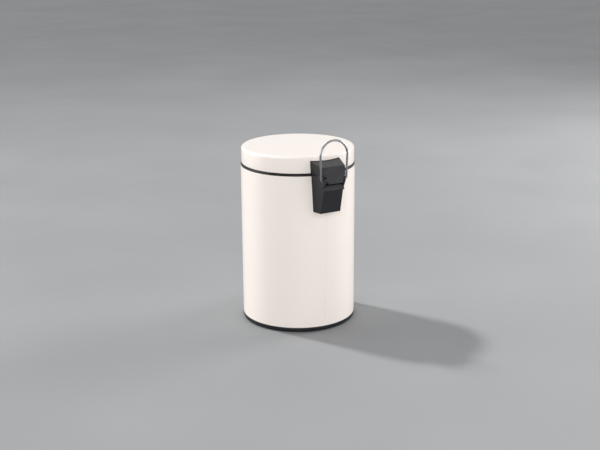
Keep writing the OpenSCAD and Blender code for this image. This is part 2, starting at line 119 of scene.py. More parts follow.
def arc(cx, cy, radius, start, end, steps):
    """Points of an arc in a plane, from one angle to another."""
    turns = [math.radians(start + (end - start) * i / steps) for i in range(steps + 1)]
    return [(cx + radius * math.cos(t), cy + radius * math.sin(t)) for t in turns]


def rounded(corners, steps=5):
    """Closed outline of (a, b, radius) corners, each rounded by its own radius."""
    points = []
    for i, (a, b, radius) in enumerate(corners):
        here = Vector((a, b))
        if radius <= 0:
            points.append((a, b))
            continue
        before = (Vector(corners[i - 1][:2]) - here).normalized()
        after = (Vector(corners[(i + 1) % len(corners)][:2]) - here).normalized()
        half = before.angle(after) / 2
        back = radius / math.tan(half)
        centre = here + (before + after).normalized() * (radius / math.sin(half))
        first, last = here + before * back - centre, here + after * back - centre
        turn = first.angle_signed(last)
        for k in range(steps + 1):
            spin = Matrix.Rotation(-turn * k / steps, 2)
            points.append(tuple(centre + spin @ first))
    return points


def link(name, mesh):
    """Object in the scene that shows a mesh."""
    made = bpy.data.objects.new(name, mesh)
    bpy.context.scene.collection.objects.link(made)
    return made


def new_object(name, vertices, faces):
    """Mesh object from points in millimetres, with its faces turned outwards."""
    mesh = bpy.data.meshes.new(name)
    mesh.from_pydata([[c * MM for c in v] for v in vertices], [], faces)
    work = bmesh.new()
    work.from_mesh(mesh)
    bmesh.ops.recalc_face_normals(work, faces=work.faces)
    work.to_mesh(mesh)
    work.free()
    return link(name, mesh)


def join(name, parts):
    """One object from several, as separate closed shells."""
    work = bmesh.new()
    for part in parts:
        work.from_mesh(part.data)
        bpy.data.objects.remove(part)
    mesh = bpy.data.meshes.new(name)
    work.to_mesh(mesh)
    work.free()
    return link(name, mesh)


def lathe(name, outline, angles=None, swell=None):
    """Solid of revolution of a closed (radius, z) outline.

    Points on the axis become one vertex. swell(angle) is added to the radii of the outer skin.
    """
    angles = angles or full_turn(EVEN)
    turns = [math.radians(a) for a in angles]
    outer = max(r for r, z in outline) - SHEET * 1.5
    on_axis = 1e-6
    vertices, rings = [], []
    for r, z in outline:
        if r < on_axis:
            rings.append([len(vertices)] * len(angles))
            vertices.append((0, 0, z))
            continue
        rings.append(list(range(len(vertices), len(vertices) + len(angles))))
        for angle, turn in zip(angles, turns):
            grown = r + (swell(angle) if swell and r > outer else 0)
            vertices.append((grown * math.cos(turn), grown * math.sin(turn), z))
    faces = []
    for i, ring in enumerate(rings):
        after = rings[(i + 1) % len(rings)]
        for k in range(len(angles)):
            n = (k + 1) % len(angles)
            corners = list(dict.fromkeys((ring[k], ring[n], after[n], after[k])))
            if len(corners) > 2:
                faces.append(corners)
    return new_object(name, vertices, faces)


def skin(name, sections):
    """Closed solid through sections that have the same number of points, capped at both ends."""
    count = len(sections[0])
    vertices = [p for section in sections for p in section]
    faces = [list(range(count)), list(range(len(vertices) - count, len(vertices)))]
    for s in range(len(sections) - 1):
        for k in range(count):
            n = (k + 1) % count
            a, b = s * count, (s + 1) * count
            faces.append((a + k, a + n, b + n, b + k))
    return new_object(name, vertices, faces)


def upright(name, plan, low, high):
    """Prism along Z of an (x, y) outline."""
    return skin(name, [[(x, y, z) for x, y in plan] for z in (low, high)])


def across(name, outline, low, high):
    """Prism along X of a (y, z) outline."""
    return skin(name, [[(x, y, z) for y, z in outline] for x in (low, high)])


def slot_tool(half, low, high, corner, ends):
    """Tool for an upright slot with round corners, which runs between two Y values."""
    corners = [(-half, low), (half, low), (half, high), (-half, high)]
    outline = rounded([(x, z, corner) for x, z in corners])
    return skin("slot", [[(x, y, z) for x, z in outline] for y in ends])


def wire(name, path, radius, sides=20):
    """Round wire along a path of points. Its ends are rounded by a share of its radius, nose."""
    path = [Vector(p) for p in path]
    last = len(path) - 1
    along = [(path[min(i + 1, last)] - path[max(i - 1, 0)]).normalized() for i in range(last + 1)]
    turns = [2 * math.pi * k / sides for k in range(sides)]
    side = along[0].orthogonal().normalized()
    nose = 0.3
    sections = []
    for i, point in enumerate(path):
        side = (side - along[i] * side.dot(along[i])).normalized()
        other = along[i].cross(side)
        ring = [side * math.cos(t) + other * math.sin(t) for t in turns]
        if 0 < i < last:
            sections.append([point + r * radius for r in ring])
            continue
        inward = along[i] * radius * (1 if i == 0 else -1)
        ends = []
        for t in (math.pi / 2, math.pi / 4, 0):
            centre = point + inward * (1 - math.sin(t)) * nose
            ends.append([centre + r * radius * (1 - nose + nose * math.cos(t)) for r in ring])
        sections += ends if i == 0 else ends[::-1]
    return skin(name, sections)


def turned_x(name, outline, y, z):
    """Solid of revolution about the line along X through y and z, from (radius, x) points."""
    made = lathe(name, outline, full_turn(64))
    place = Matrix.Translation((0, y * MM, z * MM))
    made.data.transform(place @ Matrix.Rotation(math.pi / 2, 4, "Y"))
    return made


def turned_y(name, outline, x, z):
    """Solid of revolution about the line along Y through x and z, from (radius, y) points."""
    made = lathe(name, outline, full_turn(48))
    place = Matrix.Translation((x * MM, 0, z * MM))
    made.data.transform(place @ Matrix.Rotation(-math.pi / 2, 4, "X"))
    return made


def disc(radius, low, high):
    """(radius, height) outline of a plain disc or pin."""
    return [(0, low), (radius, low), (radius, high), (0, high)]


def bake(piece):
    """Turns a piece's modifiers into its mesh."""
    seen = bpy.context.evaluated_depsgraph_get()
    mesh = bpy.data.meshes.new_from_object(piece.evaluated_get(seen))
    piece.modifiers.clear()
    piece.data = mesh
    return piece


def combine(piece, operation, *tools):
    """Cuts tools from a piece or joins them to it, and removes the tools."""
    for tool in tools:
        step = piece.modifiers.new("combine", "BOOLEAN")
        step.operation = operation
        step.object = tool
        step.solver = "EXACT"
    bake(piece)
    for tool in tools:
        bpy.data.objects.remove(tool)
    return piece


def clean(piece, least=0.05, flat=0.3):
    """Closes the tiny edges and the splits in flat faces that cutting leaves.

    They would hold the rounding back. least is a length, and flat is an angle.
    """
    work = bmesh.new()
    work.from_mesh(piece.data)
    bmesh.ops.remove_doubles(work, verts=work.verts, dist=least * MM)
    limit = math.radians(flat)
    bmesh.ops.dissolve_limit(work, angle_limit=limit, verts=work.verts, edges=work.edges)
    bmesh.ops.remove_doubles(work, verts=work.verts, dist=least * MM)
    work.to_mesh(piece.data)
    work.free()
    return piece


def soften(piece, width, segments, angle):
    """Rounds the edges of a piece, where its faces meet at more than angle, by width."""
    step = piece.modifiers.new("soften", "BEVEL")
    step.width = width * MM
    step.segments = segments
    step.limit_method = "ANGLE"
    step.angle_limit = math.radians(angle)
    step.harden_normals = True
    return piece


def smooth(piece, angle=35):
    """Smooth shading with sharp edges kept where faces meet at more than angle."""
    piece.data.shade_smooth()
    piece.data.set_sharp_from_angle(angle=math.radians(angle))
    return piece


def flatten(piece):
    """Shades each large face evenly, so that only the rounded edges bend the light."""
    step = piece.modifiers.new("flatten", "WEIGHTED_NORMAL")
    step.keep_sharp = True
    step.weight = 80
    return piece


def dress(piece, finish, body, slot, *nodes):
    """Gives a new piece its material and body, and hides the nodes that it stands for. The slot is not
    used.
    """
    piece.data.materials.clear()
    piece.data.materials.append(finish)
    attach(piece, body)
    if nodes:
        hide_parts(*nodes)
    return piece


# ---------- Materials ----------

NOISE_SPAN = (0.3, 0.7)


def linear(*levels):
    """Linear colour from 0-255 display levels, by the sRGB curve."""
    shares = [level / 255 for level in levels]
    return tuple(((s + 0.055) / 1.055) ** 2.4 if s > 0.04 else s / 12.92 for s in shares) + (1,)


def finish_of(name, colours, roughness, patches, bumps, stretch=(1, 1, 1), **sockets):
    """Procedural surface whose colour and roughness vary between two values.

    patches is how finely they vary. bumps are (kind, scale, height in millimetres), where
    the kind grain gives cells and any other kind gives noise. The other named values go to the
    shader's own sockets.
    """
    made = bpy.data.materials.new(name)
    made.use_nodes = True
    nodes, links = made.node_tree.nodes, made.node_tree.links
    shader = nodes["Principled BSDF"]
    for socket, value in sockets.items():
        shader.inputs[socket.replace("_", " ")].default_value = value
    place = nodes.new("ShaderNodeTexCoord")
    scaled = nodes.new("ShaderNodeMapping")
    scaled.inputs["Scale"].default_value = stretch
    links.new(place.outputs["Object"], scaled.inputs["Vector"])

    def noise(scale, detail=3):
        texture = nodes.new("ShaderNodeTexNoise")
        texture.inputs["Scale"].default_value = scale
        texture.inputs["Detail"].default_value = detail
        links.new(scaled.outputs["Vector"], texture.inputs["Vector"])
        return texture.outputs["Fac"]

    def cells(scale):
        texture = nodes.new("ShaderNodeTexVoronoi")
        texture.inputs["Scale"].default_value = scale
        links.new(scaled.outputs["Vector"], texture.inputs["Vector"])
        return texture.outputs["Distance"]

    tint = nodes.new("ShaderNodeValToRGB")
    for end, position, colour in zip(tint.color_ramp.elements, NOISE_SPAN, colours):
        end.position = position
        end.color = colour
    links.new(noise(patches), tint.inputs["Fac"])
    links.new(tint.outputs["Color"], shader.inputs["Base Color"])

    spread = nodes.new("ShaderNodeMapRange")
    spread.inputs["From Min"].default_value = NOISE_SPAN[0]
    spread.inputs["From Max"].default_value = NOISE_SPAN[1]
    spread.inputs["To Min"].default_value = roughness[0]
    spread.inputs["To Max"].default_value = roughness[1]
    links.new(noise(patches * 4, 4), spread.inputs["Value"])
    links.new(spread.outputs["Result"], shader.inputs["Roughness"])

    target = shader
    for kind, scale, height in bumps[::-1]:
        bump = nodes.new("ShaderNodeBump")
        bump.inputs["Distance"].default_value = height * MM
        bump.inputs["Strength"].default_value = 1
        links.new(cells(scale) if kind == "grain" else noise(scale, 2), bump.inputs["Height"])
        links.new(bump.outputs["Normal"], target.inputs["Normal"])
        target = bump
    return made


cream = finish_of(
    "cream_paint", (linear(242, 232, 224), linear(243, 233, 225)), (0.275, 0.29), 5,
    [("orange_peel", 260, 0.0012)],
    Specular_IOR_Level=0.5, Coat_Weight=0.35, Coat_Roughness=0.12)
black = finish_of(
    "black_plastic", (linear(15, 15, 18), linear(21, 21, 24)), (0.4, 0.5), 60,
    [("moulding", 1500, 0.01)], Specular_IOR_Level=0.36)
hinge_black = finish_of(
    "hinge_plastic", (linear(25, 24, 28), linear(31, 30, 34)), (0.42, 0.54), 90,
    [("grain", 2600, 0.035), ("moulding", 300, 0.02)], Specular_IOR_Level=0.42)
bucket_black = finish_of(
    "bucket_plastic", (linear(44, 45, 47), linear(50, 51, 53)), (0.4, 0.5), 40,
    [("moulding", 900, 0.02)])
rubber = finish_of(
    "rubber", (linear(28, 28, 28), linear(36, 36, 36)), (0.7, 0.85), 120, [("grain", 3500, 0.03)])
clear = finish_of(
    "clear_bumper", (linear(214, 216, 216), linear(222, 224, 224)), (0.25, 0.35), 200,
    [("moulding", 2000, 0.01)], Transmission_Weight=0.6)
zinc = finish_of(
    "zinc_steel", (linear(188, 190, 193), linear(206, 207, 208)), (0.26, 0.42), 160,
    [("brushing", 1200, 0.012)], (1, 0.12, 1), Metallic=1)
bright = finish_of(
    "bright_wire", (linear(142, 143, 146), linear(158, 159, 161)), (0.2, 0.28), 60,
    [("drawing", 900, 0.002)], Metallic=1)
acetal = finish_of(
    "acetal", (linear(222, 219, 210), linear(230, 227, 219)), (0.38, 0.48), 150,
    [("moulding", 1500, 0.01)], Subsurface_Weight=0.1, Subsurface_Scale=0.001)


# ---------- Camera, light and floor ----------

# The camera's turn round the bin from its front, pitch and roll, and its lens in millimetres
CAMERA_TURN = 151.35
CAMERA_PITCH = -16.414
CAMERA_ROLL = -0.36
CAMERA_LENS = 66.51

# The camera's place in metres: out from the bin's axis, sideways, and up from the floor
CAMERA_OUT = 1.6139
CAMERA_ASIDE = 0.0028
CAMERA_UP = 0.6163

# Lights: direction from the bin and elevation, then distance in metres
KEY_PLACE = (-62, 50, 2.4)
KEY_ENERGY = 2.25
KEY_SPREAD = 5

# Soft lights: name, place as above, size in metres and power in watts
SOFT_LIGHTS = (
    ("left_fill", (-37, 12, 2.2), 0.9, 24),
    ("right_rim", (180, 18, 2.2), 0.9, 32),
    ("right_fill", (112, 15, 2.4), 2.2, 27),
    ("camera_fill", (50, 20, 3.0), 2.2, 36),
    ("far_top", (-118, 48, 2.4), 1.4, 9),
)

# The surround fades from a pale horizon to a darker sky, which it reaches at SKY_FADE
HORIZON = (0.62, 0.63, 0.66, 1)
SKY = (0.15, 0.16, 0.17, 1)
SKY_FADE = 0.7

FLOOR_HALF = 6000


def place_camera():
    """Camera behind the bin and above it, looking down on the hinge's side."""
    turn, pitch, roll = [math.radians(a) for a in (CAMERA_TURN, CAMERA_PITCH, CAMERA_ROLL)]
    data = bpy.data.cameras.new("camera")
    data.lens = CAMERA_LENS
    data.sensor_width = 36
    camera = link("camera", data)
    back = Vector((math.sin(turn), -math.cos(turn), 0))
    ahead = -back * math.cos(pitch) + Vector((0, 0, math.sin(pitch)))
    level = Vector((math.cos(turn), math.sin(turn), 0))
    up = level.cross(ahead)
    right = level * math.cos(roll) + up * math.sin(roll)
    up = right.cross(ahead)
    axes = Matrix((right, up, -ahead)).transposed().to_4x4()
    place = back * CAMERA_OUT + level * CAMERA_ASIDE + Vector((0, 0, CAMERA_UP))
    camera.matrix_world = Matrix.Translation(place) @ axes
    bpy.context.scene.camera = camera


def aim(data, direction, elevation, distance):
    """Places a lamp so that it faces the bin from a direction and an elevation."""
    lamp = link(data.name, data)
    a, e = math.radians(direction), math.radians(elevation)
    back = Vector((math.cos(a) * math.cos(e), math.sin(a) * math.cos(e), math.sin(e)))
    lamp.location = (cad_low + cad_high) / 2 + back * distance
    lamp.rotation_mode = "QUATERNION"
    lamp.rotation_quaternion = back.to_track_quat("Z", "Y")


def light_the_scene():
    """One key light from the bin's front, and broad soft lights round it."""
    key = bpy.data.lights.new("key", "SUN")
    key.energy = KEY_ENERGY
    key.angle = math.radians(KEY_SPREAD)
    aim(key, *KEY_PLACE)
    for name, place, size, power in SOFT_LIGHTS:
        data = bpy.data.lights.new(name, "AREA")
        data.shape = "SQUARE"
        data.size = size
        data.energy = power
        aim(data, *place)


def surround():
    """World that is pale at the horizon and darker above."""
    world = bpy.data.worlds.new("studio")
    world.use_nodes = True
    nodes, links = world.node_tree.nodes, world.node_tree.links
    place = nodes.new("ShaderNodeTexCoord")
    split = nodes.new("ShaderNodeSeparateXYZ")
    fade = nodes.new("ShaderNodeValToRGB")
    fade.color_ramp.elements[0].color = HORIZON
    fade.color_ramp.elements[1].color = SKY
    fade.color_ramp.elements[1].position = SKY_FADE
    links.new(place.outputs["Generated"], split.inputs["Vector"])
    links.new(split.outputs["Z"], fade.inputs["Fac"])
    links.new(fade.outputs["Color"], nodes["Background"].inputs["Color"])
    bpy.context.scene.world = world


def lay_floor():
    """Plain pale floor, far larger than the view."""
    corners = [(x * FLOOR_HALF, y * FLOOR_HALF, 0) for x, y in ((-1, -1), (1, -1), (1, 1), (-1, 1))]
    floor = new_object("floor", corners, [(0, 1, 2, 3)])
    floor.data.materials.append(finish_of(
        "floor", (linear(138, 139, 140), linear(144, 145, 146)), (0.7, 0.85), 3,
        [("moulding", 200, 0.05)]))


# ---------- Body, top ring and feet ----------

SEAM_ANGLE = 90
SEAM_WIDTH = 0.9
SEAM_DEPTH = 0.38

# Openings: half width, lowest and highest Z, corner radius, and the Y values that they run between
PEDAL_SLOT = (10, 8.5, 25, 1.5, (-100, -60))
ROD_SLOT = (4, 191, 223, 2, (60, 100))
SCREW_HOLE_R = 1.7


def seam_swell(angle):
    """Radius change of the body along its seam, which shows as a shallow groove."""
    off = (angle - SEAM_ANGLE) * math.pi / 180 * BODY_R
    return -SEAM_DEPTH * math.exp(-((off / SEAM_WIDTH) ** 2))


def make_body():
    """Rolled sheet with a seam at the back, and openings for the pedal, the rod and the screws."""
    near_seam = [SEAM_ANGLE + step * 0.1 for step in range(-12, 13)]
    angles = sorted({round(angle, 4) for angle in full_turn(EVEN) + near_seam})
    low, high, inner = body_low.z, body_high.z, BODY_R - SHEET
    edge, steps = 0.15, 12
    outline = (
        [(inner, low + edge), (inner + edge, low), (BODY_R - edge, low), (BODY_R, low + edge)]
        + [(BODY_R, low + (high - low) * i / steps) for i in range(1, steps)]
        + [(BODY_R, high - edge), (BODY_R - edge, high), (inner + edge, high), (inner, high - edge)]
    )
    body = lathe("outer_body_shell", outline, angles, seam_swell)
    holes = [turned_y("hole", disc(SCREW_HOLE_R, *ROD_SLOT[-1]), x, z) for x, z in HOUSING_SCREWS]
    combine(body, "DIFFERENCE", slot_tool(*PEDAL_SLOT), slot_tool(*ROD_SLOT), *holes)
    dress(smooth(body), cream, "root", "cream_paint", "outer_body")


def make_top_ring():
    """Black ring between body and lid, with its spigot in the body and the ledge for the bucket."""
    top, body_top = ring_high.z, body_high.z
    seat = body_top + 0.1
    spigot_out, spigot_in, ledge_in = BODY_R - SHEET - 0.1, 82.2, 77.3
    ledge = body_top - 0.7
    ledge_low = ledge - 2
    outline = rounded([
        (spigot_in, ring_low.z, 0.4), (spigot_out, ring_low.z, 0.4), (spigot_out, seat, 0),
        (RING_R, seat, 0.35), (RING_R, top, 0.9), (spigot_in, top, 0.5), (spigot_in, ledge, 0.3),
        (ledge_in, ledge, 0.5), (ledge_in, ledge_low, 0.5), (spigot_in, ledge_low, 0.3),
    ])
    dress(smooth(lathe("top_ring_moulding", outline)), black, "root", "black_plastic", "top_ring")


def make_feet():
    """Four rubber feet with rounded edges, let into the base."""
    foot_r, foot_h, circle_r = 3.5, 1.5, 80
    outline = rounded([(0, foot_h, 0), (foot_r, foot_h, 0.2), (foot_r, 0, 0.5), (0, 0, 0)])
    feet = []
    for corner in (45, 135, 225, 315):
        foot = lathe("foot", outline, full_turn(48))
        a = math.radians(corner)
        spot = (circle_r * math.cos(a) * MM, circle_r * math.sin(a) * MM, 0)
        foot.data.transform(Matrix.Translation(spot))
        feet.append(foot)
    dress(smooth(join("rubber_feet_pads", feet)), rubber, "root", "rubber", "rubber_feet")


# ---------- Lid ----------

def make_lid():
    """Drawn steel lid: slight crown, rounded shoulder, straight wall and a curled lower edge."""
    crown, fillet, curl_r = 1, 3.5, 1.2
    shoulder, bottom = lid_high.z - crown, lid_low.z
    flat = LID_R - fillet
    curl_centre, curl_in, curl_top = LID_R - curl_r, LID_R - 2 * curl_r, bottom + 2 * curl_r
    steps = 16

    def half_section(inset):
        """Crown and shoulder of the outer skin, or of the inner one when inset by the sheet."""
        top = [(flat * i / steps, shoulder - inset + crown * (1 - (i / steps) ** 2))
               for i in range(steps + 1)]
        return top + arc(flat, shoulder - fillet, fillet - inset, 86, 0, 12)

    outline = (
        half_section(0)
        + arc(curl_centre, bottom + curl_r, curl_r, 0, -180, 10)
        + [(curl_in, curl_top), (curl_in + SHEET / 2, curl_top + 0.2), (curl_in + SHEET, curl_top)]
        + arc(curl_centre, bottom + curl_r, curl_r - SHEET, -180, 0, 10)
        + half_section(SHEET)[::-1]
    )
    dress(smooth(lathe("lid_shell", outline)), cream, "lid_body", "cream_paint", "lid")


# ---------- Hinge housing and cap ----------

# Wall thickness, top of the housing, and foot of the cap's hood
WALL = 2.2
SPLIT_Z = hinge.z + 5.2
HOOD_Z = SPLIT_Z + 0.8

# The housing's ears, and the cap's nose between them, which narrows below NOSE_CUT_Z
EAR_R = 5.2
EAR_IN = 14.4
NOSE_HALF = 14
NOSE_CUT_Z = 236.8
NOSE_LOW_HALF = 11.6

# Bores and screw bosses
PIN_BORE_R = 1.55
BOSS_R = 3.2
BOSS_START = 80
BOSS_END = 98
CAP_BOSS_END = 99.5
BOSS_BORE_R = 1.55
BOSS_BORE_END = 95.5

# Corners of the side view, as (y, z)
FRONT_TOP = (105.9, 253.6)
FRONT_LOW = (112.6, 230.4)
LEDGE_HIGH = (104, 226.9)
LEDGE_LOW = (107.3, 220.4)
FACE_TOP = (106, 218.6)
FACE_LOW = (97.2, housing_low.z)

# The fittings reach in to BACK_Y, where the body's or the lid's curve cuts them. Tools reach further.
BACK_Y = 76
TOOL_Y = 70

# Half width at WIDE_Y and WIDE_Z, and how fast it shrinks outwards and downwards
WIDE_HALF = 23.6
WIDE_Y = 82
WIDE_Z = 257
DRAFT = 0.2
DRAFT_LOW = 0.255
TAPER = 0.045
TOP_SLOPE = 0.24


def half_width(y, z, draft):
    """Half width of the hinge's fittings."""
    return WIDE_HALF - draft * (y - WIDE_Y) - TAPER * (WIDE_Z - z)


def drafted(outline, inset=0.0, draft=DRAFT):
    """Solid between the two drafted sides, from a (y, z) outline."""
    sides = [[(side * (half_width(y, z, draft) - inset), y, z) for y, z in outline] for side in (-1, 1)]
    return skin("drafted", sides)


def body_drum(radius):
    """Solid cylinder that gives a fitting its curved back. It reaches past every fitting."""
    low, high = 100, 400
    return lathe("drum", disc(radius, low, high), full_turn(360))


def pin_bore():
    """Tool for the bore of the hinge pins."""
    reach = 30
    return turned_x("bore", disc(PIN_BORE_R, -reach, reach), hinge.y, hinge.z)


def bosses(spots, end):
    """Screw bosses inside a fitting, closed at their outer ends."""
    return [turned_y("boss", disc(BOSS_R, BOSS_START, end), x, z) for x, z in spots]


def boss_bores(spots):
    """Tools for the screw bosses' bores."""
    return [turned_y("bore", disc(BOSS_BORE_R, TOOL_Y, BOSS_BORE_END), x, z) for x, z in spots]


def make_housing():
    """Fitting on the body: drafted shell with a ledge, two ears for the pin and four screw bosses."""
    lap_z, lip_z, ear_foot = 221.2, 219.2, (105.8, 223.6)
    room_y, step_y, beyond_y, shelf_z, above_z = 98, 90, 125, 229, 250
    ledge_back = (LEDGE_HIGH[0] - WALL, LEDGE_HIGH[1])

    low = drafted([
        (BACK_Y, FACE_LOW[1]), FACE_LOW, FACE_TOP, (FACE_TOP[0] - 1, lap_z), (BACK_Y, lap_z)],
        draft=DRAFT_LOW)
    shell = drafted(
        [(BACK_Y, FACE_TOP[1]), FACE_TOP, (LEDGE_LOW[0], lip_z), LEDGE_LOW, ear_foot]
        + arc(hinge.y, hinge.z, EAR_R, -30, 90, 14) + [(BACK_Y, SPLIT_Z)])
    bake(soften(low, 0.7, 3, 30))
    bake(soften(shell, 0.5, 3, 30))
    combine(shell, "UNION", low)

    inside = drafted([
        (TOOL_Y, FACE_LOW[1] + WALL), (FACE_LOW[0] - 1.6, FACE_LOW[1] + WALL),
        (FACE_TOP[0] - WALL, FACE_TOP[1]), ledge_back, (room_y, shelf_z), (room_y, above_z),
        (TOOL_Y, above_z)], WALL, DRAFT_LOW)
    room = across("room", [
        (step_y, LEDGE_HIGH[1] + 2), ledge_back, LEDGE_HIGH, LEDGE_LOW, (beyond_y, LEDGE_LOW[1]),
        (beyond_y, above_z), (step_y, above_z)], -EAR_IN, EAR_IN)
    combine(shell, "DIFFERENCE", inside, room)
    combine(shell, "UNION", *bosses(HOUSING_SCREWS, BOSS_END))
    combine(shell, "DIFFERENCE", body_drum(BODY_R + 0.05), pin_bore(), *boss_bores(HOUSING_SCREWS))
    shell.name = "hinge_housing_moulding"
    soften(clean(shell), 0.25, 2, 50)
    dress(flatten(smooth(shell)), hinge_black, "root", "hinge_plastic", "hinge_housing")


def cap_top_z(y):
    """Height of the cap's sloping top."""
    return FRONT_TOP[1] + TOP_SLOPE * (FRONT_TOP[0] - y)


def cap_front_y(z):
    """The cap's front face, which leans outwards downwards."""
    lean = (FRONT_LOW[0] - FRONT_TOP[0]) / (FRONT_TOP[1] - FRONT_LOW[1])
    return FRONT_TOP[0] + lean * (FRONT_TOP[1] - z)


def make_hood():
    """The cap's outer shell: drafted, open below and at the back."""
    hood = drafted([
        (BACK_Y, HOOD_Z), (cap_front_y(HOOD_Z), HOOD_Z), FRONT_TOP, (BACK_Y, cap_top_z(BACK_Y))])
    bake(soften(hood, 0.6, 3, 30))
    under_z = 230
    inside = drafted([
        (TOOL_Y, under_z), (cap_front_y(under_z) - WALL * 1.05, under_z),
        (FRONT_TOP[0] - WALL * 0.8, FRONT_TOP[1] - WALL), (TOOL_Y, cap_top_z(TOOL_Y) - WALL)], WALL)
    return combine(hood, "DIFFERENCE", inside)


def make_nose():
    """The cap's front between the ears: a plate, the barrel behind it and the block that ties them."""
    top_z, low_z, corner, thick, barrel_r = HOOD_Z + 2, FRONT_LOW[1], 0.6, 2.6, 4.6
    outline = rounded([
        (-NOSE_HALF, top_z, 0), (NOSE_HALF, top_z, 0), (NOSE_HALF, NOSE_CUT_Z, corner),
        (NOSE_LOW_HALF, low_z, corner), (-NOSE_LOW_HALF, low_z, corner),
        (-NOSE_HALF, NOSE_CUT_Z, corner)])
    plate = skin("plate", [[(x, cap_front_y(z) - depth, z) for x, z in outline] for depth in (0, thick)])
    bake(soften(plate, 0.5, 3, 50))
    barrel = turned_x("barrel", disc(barrel_r, -NOSE_HALF, NOSE_HALF), hinge.y, hinge.z)
    block_half = NOSE_HALF - 0.01
    block = across("block", [
        (cap_front_y(HOOD_Z + 8) - 1, HOOD_Z + 8), (cap_front_y(HOOD_Z) - 1, HOOD_Z - 4),
        (hinge.y - 3, hinge.z + 3), (hinge.y - 5, HOOD_Z + 11)], -block_half, block_half)
    return plate, barrel, block


def make_arm():
    """Arm that the push rod lifts, and the web that ties it to the hood."""
    thick, length, half, corner, web_half, tilt = 3.2, 20, 4, 1.2, 1.2, 40
    spin = Matrix.Rotation(math.radians(tilt), 2)

    def placed(y, z):
        turned = spin @ Vector((y, z))
        return hinge.y + turned.x, hinge.z + turned.y

    side = [
        (-length, 0), (0, 0), (0, thick + corner), (-length + corner, thick),
        (-length, thick - corner)]
    arm = across("arm", [placed(y, z) for y, z in side], -half, half)
    web_side = [(-14, -8.5), (-2, 0), (-2, 17), (-14, 19.5)]
    web = across("web", [(hinge.y + y, hinge.z + z) for y, z in web_side], -web_half, web_half)
    return arm, web


def make_cap():
    """Fitting on the lid: hood with drafted sides, nose between the ears, barrel and lifting arm."""
    cap = make_hood()
    combine(cap, "UNION", *make_nose())
    combine(cap, "UNION", *make_arm(), *bosses(CAP_SCREWS, CAP_BOSS_END))
    combine(cap, "DIFFERENCE", body_drum(LID_R + 0.05), pin_bore(), *boss_bores(CAP_SCREWS))
    cap.name = "hinge_cap_moulding"
    soften(clean(cap), 0.2, 2, 50)
    dress(smooth(cap, 20), hinge_black, "lid_body", "hinge_plastic", "hinge_cap")


# ---------- Wires ----------

def mirrored(half):
    """Whole path of (a, b) points from one half, which starts on the right and ends on the middle."""
    return half + [(-a, b) for a, b in half[-2::-1]]


def make_handle():
    """Carry handle: one wire with its ends turned in as the hinge pins."""
    radius, bend, pin_in, pin_out = 1.5, 2.5, 9.6, 18.2
    arch = (handle_high.x - handle_low.x) / 2 - radius
    arch_z = handle_high.z - radius - arch
    elbow_z = hinge.z + bend
    gap = arch_z - elbow_z
    lean = math.asin((arch - bend) / math.hypot(pin_out, gap)) - math.atan2(pin_out, gap)
    lean = math.degrees(lean)
    path = mirrored(
        [(pin_in + (pin_out - pin_in) * i / 4, hinge.z) for i in range(4)]
        + arc(pin_out, elbow_z, bend, -90, -lean, 10)
        + arc(0, arch_z, arch, -lean, 90, 40)
    )
    handle = wire("carry_handle_wire", [(x, hinge.y, z) for x, z in path], radius, 24)
    dress(smooth(handle), bright, "handle_body", "bright_wire", "carry_handle")


def make_bail():
    """Bucket's bail: half hoop with its ends turned out into the lugs."""
    radius, bend = 1.2, 2.5
    end = bail_high.x
    hoop = -bail_low.y - radius - bend
    path = mirrored(
        [(end - (end - hoop - bend) * i / 3, 0) for i in range(3)]
        + arc(hoop + bend, -bend, bend, 90, 180, 8)
        + arc(0, -bend, hoop, 0, -90, 36)[1:]
    )
    bail = wire("bucket_bail_wire", [(x, y, bail_axis.z) for x, y in path], radius)
    dress(smooth(bail), bright, "bail_body", "bright_wire", "bucket_bail")


def make_rod():
    """Push rod: hook in the lever, long upright, and the joggle out through the body's slot."""
    bend, joggle_z, hook, hook_end = 5, 190, 4, 12
    upright_z, tip_z = (60, 120, joggle_z - 1), (205, 215, rod_high.z)
    hook_z = rod_low.z + ROD_R
    top_y = rod_high.y - ROD_R
    path = [(x, ROD_Y, hook_z) for x in range(hook_end, hook, -2)]
    path += [(x, ROD_Y, z) for x, z in arc(hook, hook_z + hook, hook, -90, -180, 8)]
    path += [(0, ROD_Y, z) for z in upright_z]
    path += [(0, y, z) for y, z in arc(ROD_Y + bend, joggle_z, bend, 180, 90, 8)]
    path += [(0, y, z) for y, z in arc(top_y - bend, joggle_z + 2 * bend, bend, -90, 0, 8)]
    path += [(0, top_y, z) for z in tip_z]
    dress(smooth(wire("push_rod_wire", path, ROD_R)), zinc, "rod_body", "zinc_steel", "push_rod")


# ---------- Bucket ----------

